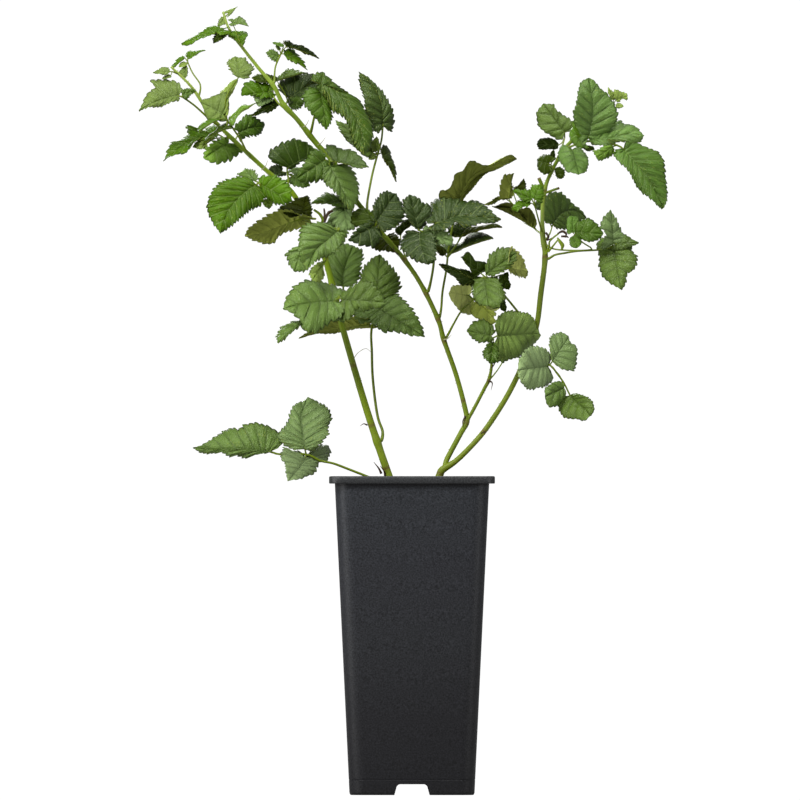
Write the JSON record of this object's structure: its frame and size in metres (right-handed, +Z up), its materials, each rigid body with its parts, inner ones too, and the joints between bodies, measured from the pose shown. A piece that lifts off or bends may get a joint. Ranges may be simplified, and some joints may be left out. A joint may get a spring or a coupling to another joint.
{
  "type": "potted tayberry plant",
  "caption": "Tayberry plant with arching green canes and toothed compound leaves, rooted in a tall tapered square nursery pot with a folded rim.",
  "frame": {"origin": "middle of the whole plant's footprint, on the surface the pot stands on; the pot's own middle is 7.1 mm to +X and 8.4 mm to +Y of it", "axes": "+Z up, +X to the right seen from the front, -Y towards the front"},
  "size_m": [0.4144, 0.1668, 0.6194],
  "materials": {
    "pot_plastic": "charcoal black moulded polypropylene, finely speckled, matt",
    "compost": "dark, crumbly peat and bark compost, matt",
    "cane_bark": "young green bark, satin, with fine prickles",
    "leaf_green": "soft green leaf, matt to satin, paler underneath"
  },
  "bodies": {
    "root": {"pot": "pot_plastic", "soil": "compost", "cane_left": "cane_bark", "cane_right": "cane_bark", "cane_middle": "cane_bark", "shoot_low": "cane_bark", "stub_upper": "cane_bark", "stub_side": "cane_bark", "leaf_low_left": "leaf_green", "leaf_inner": "leaf_green", "leaf_front": "leaf_green", "leaf_behind": "leaf_green", "leaf_mid_front": "leaf_green", "leaf_olive_left": "leaf_green", "leaf_bright_left": "leaf_green", "leaf_left_dark": "leaf_green", "leaf_mid_top": "leaf_green", "leaf_mid_small": "leaf_green", "leaf_hanging": "leaf_green", "leaf_dark_top": "leaf_green", "leaf_node_left": "leaf_green", "leaf_top_small": "leaf_green", "leaf_tip_long": "leaf_green", "leaf_tip_right": "leaf_green", "leaf_tip_bud": "leaf_green", "leaf_end_arc": "leaf_green", "leaf_end_left": "leaf_green", "leaf_far_left": "leaf_green", "leaf_bright_center": "leaf_green", "leaf_lobed_left": "leaf_green", "leaf_dark_left": "leaf_green", "leaf_tall": "leaf_green", "leaf_round": "leaf_green", "leaf_round_behind": "leaf_green", "leaf_blue": "leaf_green", "leaf_node_small": "leaf_green", "leaf_olive_top": "leaf_green", "leaf_fold_left": "leaf_green", "leaf_small_bright": "leaf_green", "leaf_dark_right": "leaf_green", "leaf_long_stalk": "leaf_green", "leaf_side": "leaf_green", "leaf_top_right": "leaf_green", "leaf_right_end": "leaf_green", "leaf_upper_left": "leaf_green", "leaf_center_right": "leaf_green", "leaf_small_right": "leaf_green", "leaf_tip_spike": "leaf_green", "leaf_fan": "leaf_green", "leaf_under_left": "leaf_green", "leaf_big_round": "leaf_green", "leaf_shoot_back": "leaf_green", "leaf_low_right": "leaf_green"}
  },
  "joints": []
}
